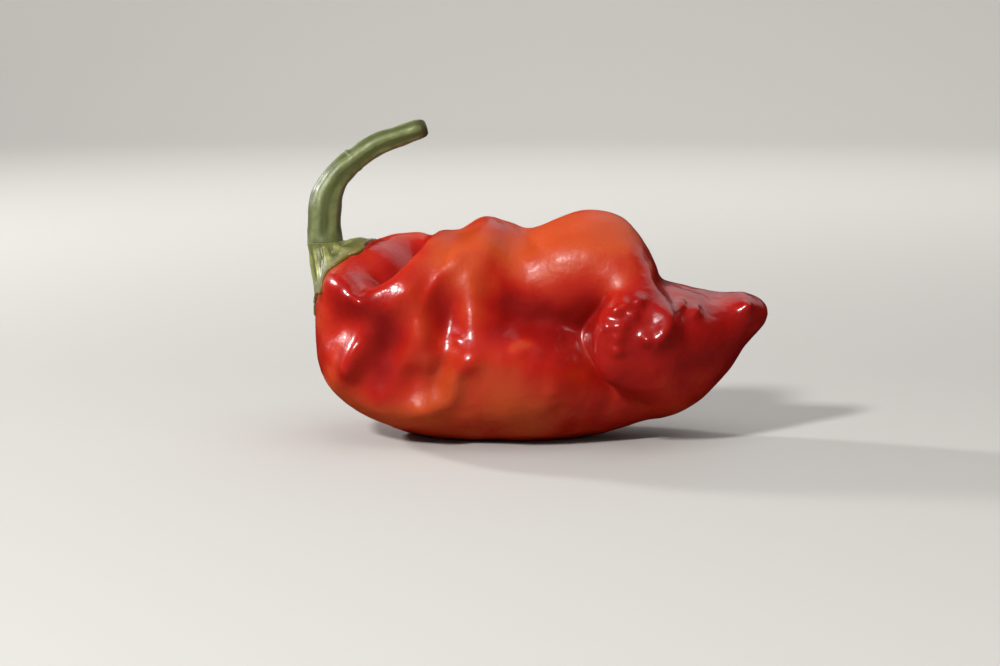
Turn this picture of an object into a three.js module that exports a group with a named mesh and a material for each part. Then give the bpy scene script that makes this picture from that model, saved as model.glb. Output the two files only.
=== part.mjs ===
// A ripe chilli pepper of the habanero kind, as picked and lying on its side: a wrinkled, lobed pod
// with a blunt pointed tip, the green calyx that caps its stalk end, and the bent stalk.
// Millimetres, +Z up, +X towards the tip, -Y towards the side that is turned to the viewer.
// The origin is on the ground, under the middle of the whole pepper.
import * as THREE from 'three';

// Middle of the whole pepper's box, in the coordinates that the shapes below are written in
const middle = { x: 0.1, y: -0.45 };

// The pod's mesh: its rings and how much closer they lie about the middle, the points round each ring
// and how much closer they lie on the near side, the narrowest relief that such a mesh can carry, and
// the pieces a stroke is cut into between two points
const podRings = 74;
const middleCloseness = 0.3;
const podSides = 78;
const nearCloseness = 0.4;
const finestWidth = 0.85;
const piecesPerSpan = 8;

// The pod is lofted through cross-sections from the stalk end to the tip. Each row holds the crest
// (x, z), the belly (x, z), the reach to the near and to the far side, and how far its middle lies back.
const podSections = [
  [-23.2, 19.9, -23.2, 19.9, 0.0, 0.0, 1.8],
  [-21.4, 21.8, -24.7, 17.9, 2.8, 2.6, 1.7],
  [-19.7, 23.2, -26.0, 15.8, 5.9, 5.3, 1.4],
  [-17.5, 23.6, -26.4, 12.4, 8.8, 8.0, 0.9],
  [-14.6, 23.6, -25.7, 9.1, 10.7, 10.3, 0.5],
  [-11.8, 23.4, -23.8, 5.8, 11.8, 11.6, 0.2],
  [-9.0, 24.2, -19.9, 2.3, 12.5, 12.4, 0.0],
  [-6.2, 25.8, -15.4, 0.2, 12.8, 12.7, 0.0],
  [-3.4, 25.4, -10.1, -0.4, 12.9, 12.6, 0.0],
  [-0.5, 24.8, -4.3, -0.5, 12.8, 12.4, 0.0],
  [2.9, 25.8, 1.1, -0.5, 12.4, 12.0, 0.0],
  [6.7, 26.4, 6.2, 0.1, 12.0, 11.2, 0.0],
  [10.4, 25.7, 10.7, 0.8, 11.8, 9.8, -0.3],
  [13.2, 22.6, 14.3, 1.9, 11.4, 8.4, -0.6],
  [15.2, 19.1, 17.5, 3.2, 10.2, 7.0, -0.8],
  [18.8, 17.9, 20.4, 5.4, 8.2, 5.6, -0.8],
  [22.1, 17.5, 22.9, 8.0, 5.8, 4.3, -0.7],
  [24.7, 17.2, 24.8, 10.8, 3.9, 3.2, -0.6],
  [26.5, 16.6, 26.4, 12.5, 2.6, 2.4, -0.5],
  [27.4, 15.8, 27.3, 13.6, 1.5, 1.4, -0.5],
  [27.7, 14.7, 27.7, 14.7, 0.0, 0.0, -0.5],
];

// The stalk end faces up, left and a little away: its near side leans out along this direction
const stalkEnd = { x: -0.79, z: 0.61, lean: 1.2, reach: 4 };

// The near side's relief is laid out as it is seen from this eye
const eye = { x: -4.3, z: 12.4, distance: 284, rise: THREE.MathUtils.degToRad(8) };

// Each stroke is a ridge (height above 0) or a furrow (below 0) along a smooth path of x and z.
// A stroke of one point is a round bump.
const nearStrokes = {
  middleHollow: { path: [[-4.3, 15.7], [-0.1, 14.9], [4.1, 13.3], [6.5, 10.9]], width: 4.2, height: -4.3 },
  lobeFace: { path: [[-2.4, 19.8], [2.9, 20], [7.4, 19.7]], width: 2.9, height: -0.6 },
  hollowTail: { path: [[5.9, 9.1], [7.7, 5.8], [10.1, 3.4], [13.7, 2.4]], width: 2, height: -1.6 },
  upperLobe: { path: [[0, 21.5], [6, 22.5], [10, 21.5]], width: 4.5, height: 0.6 },
  lobeRim: { path: [[11.9, 22.4], [11.6, 20.4]], width: 1.4, height: 0.4 },
  noseBody: { path: [[12.6, 13.3], [15, 9.8]], width: 4.2, height: 3.2 },
  noseRim: {
    path: [[12.4, 18.2], [11, 15.4], [10.2, 12.4], [10.2, 9.4], [12, 6]],
    width: 1.8, height: 1,
  },
  noseRidge: { path: [[14.2, 15.5], [15.3, 14.2], [15.1, 12.6], [14.2, 11.2]], width: 1.1, height: 0.8 },
  noseLump: { path: [[18.8, 15.1]], width: 1, height: 0.5 },
  noseMoat: {
    path: [[8.6, 17.4], [6.8, 15.2], [5.6, 12.9], [5.3, 10.6], [6.1, 7.9]],
    width: 2.3, height: -1.5,
  },
  noseGroove: {
    path: [[8.4, 16.4], [7, 13.9], [6.4, 11.2], [6.8, 8.7], [8.3, 6.1], [10.2, 4.2]],
    width: 1, height: -0.8,
  },
  tipKnob: { path: [[25.2, 15.2]], width: 1.7, height: 0.8 },
  tipNeck: { path: [[21.6, 16.8]], width: 1.2, height: -0.5 },
  bellyLobe: { path: [[-6.5, 5.3], [2.9, 4.1]], width: 3.6, height: 1.4 },
  bellyBrow: { path: [[-8, 9.4], [-5.3, 9.3], [-1.9, 9.4], [1.1, 8.3], [3.3, 6.1]], width: 2, height: 0.7 },
  browPeak: { path: [[-2.6, 10.5], [-0.8, 10.7]], width: 1, height: 0.3 },
  lobeKnob: { path: [[-8.5, 10.2], [-8.6, 9]], width: 1.6, height: 1.3 },
  uprightRidge: { path: [[-8.1, 20], [-7.6, 17], [-7.6, 12.5]], width: 1.5, height: 0.35 },
  crestRoll: { path: [[-14.4, 17.2], [-12.2, 19.7], [-9.8, 22.3]], width: 2.6, height: 1.7 },
  crestBrink: { path: [[-15.2, 18.7], [-12.8, 21.3], [-10.4, 23.7]], width: 1.4, height: 0.6 },
  topLobe: { path: [[-7.2, 22.4], [-4.6, 23]], width: 3.2, height: 1.3 },
  thirdPocket: { path: [[-10.9, 17.6], [-10.7, 13.9], [-11, 10.3]], width: 2.3, height: -2 },
  thirdPocketRidge: { path: [[-14.6, 17], [-14, 13.9], [-13.5, 10.3]], width: 1.4, height: 0.6 },
  secondPocket: { path: [[-17.4, 13.3], [-17.9, 10.3], [-18.4, 7.9]], width: 2.4, height: -1.9 },
  secondPocketEdge: { path: [[-15.5, 11.9], [-15.7, 9.7], [-16.8, 7.7]], width: 0.9, height: 0.3 },
  secondPocketRidge: {
    path: [[-19.8, 13.7], [-20.7, 11.3], [-21.7, 8.9], [-22.8, 7]],
    width: 1.5, height: 1.1,
  },
  firstPocket: { path: [[-23.3, 14.2], [-23.7, 12.2]], width: 1.4, height: -1.5 },
  lowerDimple: { path: [[-23.7, 9.7]], width: 1, height: -0.8 },
  bentCrest: {
    path: [[-22.3, 17.3], [-20.9, 16.1], [-19.3, 15.2], [-17.8, 15.9], [-16.4, 17], [-14.9, 18.4]],
    width: 2, height: 1.8,
  },
  saddle: { path: [[-20.2, 20.4], [-17.8, 19.5], [-15.6, 21.7], [-13, 24]], width: 2, height: -3.3 },
  leftShoulder: { path: [[-23.2, 18]], width: 2, height: 1.3 },
  lowPocket: { path: [[-15.4, 6.6], [-13.6, 6.4]], width: 2, height: -2.2 },
  bellyLip: { path: [[-9.2, 9.2], [-9.7, 7], [-10.3, 4.3]], width: 1, height: 0.8 },
  lipGutter: { path: [[-11.1, 9], [-11.6, 6.7], [-12.4, 5]], width: 1.3, height: -1.2 },
  lowerRim: {
    path: [[-25, 10.3], [-23.8, 7.4], [-20.9, 5], [-16.3, 3.5], [-12, 3.4]],
    width: 1.8, height: 1,
  },
  lobeCleft: { path: [[-1.8, 25.3], [-2.8, 22.7], [-4, 20.2]], width: 2.3, height: -0.8 },
  noseNotch: { path: [[15.4, 19.9], [14.9, 18.2]], width: 0.9, height: -0.5 },
};

// Where a fold hangs over or a lobe fills out, the near side is pushed by this much in x, y and z
const nearPushes = {
  noseEdge: { path: [[11, 16.2], [9.6, 12.8], [9.6, 9.4], [11.4, 5.8]], width: 2, push: [-1.2, 0, 0] },
  crestEdge: {
    path: [[-19, 15.6], [-15.8, 18], [-12.4, 21], [-9.6, 23.6]],
    width: 1.7, push: [-0.7, 0, 0.7],
  },
  lobeBrow: { path: [[0.5, 22.6], [4.5, 23.4], [9, 22.8]], width: 3, push: [0, -1, 0] },
  topBrow: { path: [[-8, 23.6], [-4.5, 24]], width: 2.4, push: [0, -1, 0] },
};

// The other sides: paths of x and y seen from above and from beneath, and of x and z from behind
const topStrokes = {
  backLobe: { path: [[-16.5, 4], [-12.5, 3.6]], width: 3.6, height: 2.2 },
  middleSwell: { path: [[-8, 3], [-2, 2]], width: 3.5, height: 0.6 },
  farSwell: { path: [[7, 1]], width: 5, height: 0.6 },
  farFurrow: { path: [[-8, 8], [2, 9], [10, 7]], width: 2.6, height: -2 },
};
const backStrokes = {
  leftFurrow: { path: [[-14, 17], [-6, 14], [4, 13]], width: 3.2, height: -2.8 },
  rightFurrow: { path: [[3, 13], [9, 9], [14, 8]], width: 2.8, height: -2.4 },
  stalkPocket: { path: [[-18.5, 13], [-17, 7]], width: 2.2, height: -1.6 },
  lowerPocket: { path: [[-9, 8], [-10, 3]], width: 2.2, height: -1.4 },
  upperPocket: { path: [[10, 17], [12, 20]], width: 2.6, height: -1.6 },
  middleRib: { path: [[-1, 9], [3, 5]], width: 2.4, height: 1.1 },
  leftRib: { path: [[-13, 12], [-14, 5]], width: 1.8, height: 1.1 },
};
const underStrokes = {
  keelFurrow: { path: [[-19, -2], [-13, -3]], width: 1.8, height: -0.9 },
  noseFurrow: { path: [[9, 0], [17, -1]], width: 1.8, height: -0.8 },
};

// The calyx hugs the pod out to its margin, a place along the sections, with five short teeth and a
// notch at one turn, and flares up to a neck ring where the stalk joins on
const gap = 0.25;
const calyx = {
  sides: 50, innerRings: 5, outerRings: 11,
  margin: 2.08, toothReach: 0.4, teeth: 5, toothTurn: 1.2, nearDraw: 0.05,
  notchTurn: 2.3, notchDepth: 0.2, notchWidth: 0.12,
  rimThickness: 0.4, shoulder: 1.3, ribs: 10, ribHeight: 0.2,
  neck: new THREE.Vector3(-25.3, 1.8, 22.95), neckRadius: 2.2, neckRise: 1,
};
const neckUp = new THREE.Vector3(-0.05, 0, 1).normalize();

// The stalk's middle line and its radius at each point; its end closes over these places of a dome
const stalk = {
  path: [
    [-25.3, 1.8, 23.25], [-25.4, 1.9, 25], [-25.3, 2, 27.4], [-24.8, 2.2, 29.3], [-23.5, 2.5, 31.4],
    [-21.8, 2.8, 32.9], [-19, 3.1, 34.8], [-16.7, 3.4, 35.7], [-14.6, 3.7, 36.4], [-13.9, 3.8, 36.6],
  ],
  radii: [2.18, 2, 1.98, 1.77, 1.58, 1.45, 1.32, 1.26, 1.2, 1.12],
  rings: 32, sides: 15, angles: 5, angleHeight: 0.035,
  endDome: 0.9, endPower: 1.9, endPlaces: [0.5, 0.85],
};

// A row of numbers between the given rows, on a uniform Catmull-Rom spline
function splineRow(rows, t) {
  const last = rows.length - 1;
  const i = Math.min(Math.max(Math.floor(t), 0), last - 1);
  const f = t - i;
  return rows[i].map((b, column) => {
    const c = rows[i + 1][column];
    const a = i > 0 ? rows[i - 1][column] : 2 * b - c;
    const d = i + 1 < last ? rows[i + 2][column] : 2 * c - b;
    const curve = (2 * a - 5 * b + 4 * c - d) * f ** 2 + (3 * b - a - 3 * c + d) * f ** 3;
    return 0.5 * (2 * b + (c - a) * f + curve);
  });
}

const smoothStep = (x) => THREE.MathUtils.smoothstep(x, 0, 1);

// Cuts a stroke's path into short pieces, each with its middle and its share of the height
function strokePieces({ path, width: drawnWidth, height }) {
  const width = Math.hypot(drawnWidth, finestWidth);
  if (path.length === 1) return { spots: [{ at: path[0], weight: height }], width };
  const steps = (path.length - 1) * piecesPerSpan;
  const placeAt = (k) => splineRow(path, (k / steps) * (path.length - 1));
  const points = Array.from({ length: steps + 1 }, (_, k) => placeAt(k));
  const spots = [];
  for (let k = 0; k < steps; k++) {
    const [ax, az] = points[k];
    const [bx, bz] = points[k + 1];
    const weight = (height * Math.hypot(bx - ax, bz - az)) / (Math.sqrt(Math.PI) * width);
    spots.push({ at: [(ax + bx) / 2, (az + bz) / 2], weight });
  }
  return { spots, width };
}

const cut = (strokes) => Object.values(strokes).map(strokePieces);
const nearPieces = cut(nearStrokes);
const pushPieces = Object.values(nearPushes).map(({ path, width, push }) =>
  ({ pieces: [strokePieces({ path, width, height: 1 })], push: new THREE.Vector3(...push) }));
const topPieces = cut(topStrokes);
const backPieces = cut(backStrokes);
const underPieces = cut(underStrokes);

// The height of all strokes at a point: each piece adds its weight times exp(-distance²/width²)
function strokeHeight(strokes, u, w) {
  let sum = 0;
  for (const { spots, width } of strokes) {
    for (const { at, weight } of spots) {
      sum += weight * Math.exp(-((u - at[0]) ** 2 + (w - at[1]) ** 2) / width ** 2);
    }
  }
  return sum;
}

// Where the eye sees a point, on the upright plane through the pod's middle
function seen(point) {
  const cos = Math.cos(eye.rise);
  const sin = Math.sin(eye.rise);
  const up = point.y * sin + (point.z - eye.z) * cos;
  const depth = eye.distance + point.y * cos - (point.z - eye.z) * sin;
  const zoom = eye.distance / depth;
  return [eye.x + (point.x - eye.x) * zoom, eye.z + up * zoom];
}

// The pod before its relief: t runs along the sections, v once round from the far side over the crest
function podBase(t, v) {
  const [crestX, crestZ, bellyX, bellyZ, near, far, back] = splineRow(podSections, t);
  const side = Math.cos(v);
  const lean = t < stalkEnd.reach ? stalkEnd.lean * Math.sin((Math.PI * t) / stalkEnd.reach) ** 2 : 0;
  return new THREE.Vector3(
    (crestX + bellyX) / 2 + ((crestX - bellyX) / 2) * Math.sin(v) - stalkEnd.x * lean * side,
    back + (side < 0 ? near : far) * side,
    (crestZ + bellyZ) / 2 + ((crestZ - bellyZ) / 2) * Math.sin(v) - stalkEnd.z * lean * side,
  );
}

// The outward normal of that surface, from small steps both ways
function podNormal(t, v) {
  const step = 0.01;
  const last = podSections.length - 1;
  const at = Math.min(Math.max(t, 0.05), last - 0.05);
  const along = podBase(at + step, v).sub(podBase(at - step, v));
  const round = podBase(at, v + step).sub(podBase(at, v - step));
  return round.cross(along).normalize();
}

// The pod's skin: the base pushed out along its normal by the relief, pushed over at the folds and
// pressed flat on the ground. The strokes of each side fade out where the surface turns away from it.
function podSkin(t, v, lift = 0) {
  const point = podBase(t, v);
  const normal = podNormal(t, v);
  const [u, w] = seen(point);
  const facing = normal.z * Math.sin(eye.rise) - normal.y * Math.cos(eye.rise);
  const near = smoothStep((facing + 0.2) / 0.45);
  const height =
    strokeHeight(nearPieces, u, w) * near +
    strokeHeight(topPieces, point.x, point.y) * smoothStep((normal.z + 0.1) / 0.5) +
    strokeHeight(backPieces, point.x, point.z) * smoothStep((normal.y + 0.1) / 0.5) +
    strokeHeight(underPieces, point.x, point.y) * smoothStep((0.1 - normal.z) / 0.5);
  const skin = point.addScaledVector(normal, height + lift);
  for (const { pieces, push } of pushPieces) skin.addScaledVector(push, strokeHeight(pieces, u, w) * near);
  skin.z = Math.max(skin.z, 0);
  return skin;
}

// A closed shell from a first point over rings of points to a last point. Each ring turns
// right-handed about the way from the first point to the last, and each four-sided face between two
// rings is cut along its shorter diagonal, so that slanting ridges stay smooth.
function shell(first, rings, last) {
  const sides = rings[0].length;
  const points = [first, ...rings.flat(), last];
  const indices = [];
  for (let side = 0; side < sides; side++) {
    const next = (side + 1) % sides;
    indices.push(0, 1 + next, 1 + side);
    for (let ring = 0; ring + 1 < rings.length; ring++) {
      const low = 1 + ring * sides;
      const [a, b, c, d] = [low + side, low + next, low + sides + next, low + sides + side];
      const cutFirst = points[a].distanceTo(points[c]) < points[b].distanceTo(points[d]);
      indices.push(...(cutFirst ? [a, b, c, a, c, d] : [a, b, d, b, c, d]));
    }
    const low = 1 + (rings.length - 1) * sides;
    indices.push(low + side, low + next, points.length - 1);
  }
  const centred = points.map((p) => new THREE.Vector3(p.x - middle.x, p.y - middle.y, p.z));
  const geometry = new THREE.BufferGeometry().setFromPoints(centred);
  geometry.setIndex(indices);
  geometry.computeVertexNormals();
  return geometry;
}

const ringOf = (sides, pointAt) =>
  Array.from({ length: sides }, (_, k) => pointAt((k / sides) * 2 * Math.PI));

function makePod() {
  const last = podSections.length - 1;
  const rings = [];
  for (let ring = 1; ring < podRings; ring++) {
    const turn = (ring / podRings) * 2 * Math.PI;
    const t = ((turn + middleCloseness * Math.sin(turn)) / (2 * Math.PI)) * last;
    rings.push(ringOf(podSides, (v) => podSkin(t, v + nearCloseness * Math.sin(v))));
  }
  return shell(podSkin(0, 0), rings, podSkin(last, 0));
}

// How far along the sections the calyx reaches: teeth point outwards, it draws back on the near side
// and is notched at one turn
function calyxMargin(v) {
  const tooth = (0.5 + 0.5 * Math.cos(calyx.teeth * v + calyx.toothTurn)) ** 3;
  const near = Math.max(0, -Math.cos(v)) ** 2;
  const notch = calyx.notchDepth * Math.exp((Math.cos(v - calyx.notchTurn) - 1) / calyx.notchWidth);
  return calyx.margin + calyx.toothReach * tooth - calyx.nearDraw * near - notch;
}

// A ring point about the neck: v = 90° is the crest's side and v = 0 the far side
function neckPoint(centre, up, radius, v) {
  const across = new THREE.Vector3(up.z, 0, -up.x).normalize();
  const deep = new THREE.Vector3().crossVectors(across, up).normalize();
  if (deep.y < 0) deep.negate();
  const crossways = across.multiplyScalar(radius * Math.sin(v));
  return centre.clone().add(crossways).addScaledVector(deep, radius * Math.cos(v));
}

// The calyx's outer face at v: a Bezier curve from the rim over the shoulder to the neck, with ribs
function calyxFace(s, v) {
  const margin = calyxMargin(v);
  const rim = podSkin(margin * 0.98, v, gap + calyx.rimThickness);
  const shoulder = podSkin(margin * 0.5, v, gap + calyx.shoulder);
  const neck = neckPoint(calyx.neck, neckUp, calyx.neckRadius, v);
  const below = neck.clone().addScaledVector(neckUp, -calyx.neckRise);
  const point = new THREE.CubicBezierCurve3(rim, shoulder, below, neck).getPoint(s);
  const outward = point.clone().sub(podSkin(0, 0)).normalize();
  const rib = calyx.ribHeight * Math.cos(calyx.ribs * v) * Math.sin(Math.PI * s);
  return point.addScaledVector(outward, rib);
}

function makeCalyx() {
  const rings = [];
  for (let ring = 1; ring <= calyx.innerRings; ring++) {
    rings.push(ringOf(calyx.sides, (v) => podSkin((ring / calyx.innerRings) * calyxMargin(-v), -v, gap)));
  }
  for (let ring = 0; ring <= calyx.outerRings; ring++) {
    rings.push(ringOf(calyx.sides, (v) => calyxFace(ring / calyx.outerRings, -v)));
  }
  return shell(podSkin(0, 0, gap), rings, calyx.neck.clone());
}

// The stalk: round rings with five blunt angles square to its middle line, and a domed cut end
function makeStalk() {
  const last = stalk.path.length - 1;
  const centreAt = (t) => new THREE.Vector3(...splineRow(stalk.path, t));
  const rings = [];
  for (let ring = 0; ring <= stalk.rings; ring++) {
    const t = (ring / stalk.rings) * last;
    const up = centreAt(t + 0.05).sub(centreAt(t - 0.05)).normalize();
    const [radius] = splineRow(stalk.radii.map((r) => [r]), t);
    rings.push(ringOf(stalk.sides, (v) => {
      const swell = 1 + stalk.angleHeight * Math.cos(stalk.angles * v);
      return neckPoint(centreAt(t), up, radius * swell, -v);
    }));
  }
  const end = centreAt(last);
  const outwards = end.clone().sub(centreAt(last - 0.1)).normalize();
  for (const place of stalk.endPlaces) {
    const radius = stalk.radii[last] * Math.sqrt(1 - place ** stalk.endPower);
    const centre = end.clone().addScaledVector(outwards, stalk.endDome * place);
    rings.push(ringOf(stalk.sides, (v) => neckPoint(centre, outwards, radius, -v)));
  }
  return shell(centreAt(0), rings, end.clone().addScaledVector(outwards, stalk.endDome));
}

const material = (color, roughness) => new THREE.MeshStandardMaterial({ color, roughness, metalness: 0 });

function named(name, geometry, finish) {
  const mesh = new THREE.Mesh(geometry, finish);
  mesh.name = name;
  return mesh;
}

const pepper = new THREE.Group();
pepper.add(named('pod', makePod(), material(0xd42a12, 0.22)));
pepper.add(named('calyx', makeCalyx(), material(0x74803a, 0.55)));
pepper.add(named('stalk', makeStalk(), material(0x5f7a38, 0.5)));

export default pepper;
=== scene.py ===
# A ripe chilli pepper of the habanero kind, as picked and lying on its side:
# a glossy wrinkled pod with a blunt tip, a ribbed green calyx and a bent stalk.
import math
import bpy
import numpy as np
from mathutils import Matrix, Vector


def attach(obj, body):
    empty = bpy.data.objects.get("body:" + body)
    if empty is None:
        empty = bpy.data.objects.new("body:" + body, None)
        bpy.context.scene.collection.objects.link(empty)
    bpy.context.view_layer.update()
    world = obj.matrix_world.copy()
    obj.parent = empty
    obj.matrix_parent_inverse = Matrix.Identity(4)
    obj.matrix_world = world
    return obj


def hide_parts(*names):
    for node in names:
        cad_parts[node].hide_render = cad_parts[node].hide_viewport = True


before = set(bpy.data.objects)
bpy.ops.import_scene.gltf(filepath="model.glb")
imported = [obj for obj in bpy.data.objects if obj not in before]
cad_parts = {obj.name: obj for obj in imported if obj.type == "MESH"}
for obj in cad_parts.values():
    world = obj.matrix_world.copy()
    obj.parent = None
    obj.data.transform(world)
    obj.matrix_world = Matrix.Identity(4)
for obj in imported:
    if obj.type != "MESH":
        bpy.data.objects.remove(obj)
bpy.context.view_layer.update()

mm = 0.001
# the shapes below are written in millimetres about this point, the middle of the whole pepper's box
middle = (0.1, -0.45)

# the near side's relief and colour are laid out as they are seen from this eye
eye = {"x": -4.3, "z": 12.4, "distance": 284.0, "riseDeg": 8.0, "pictureWidth": 120.0}

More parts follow.
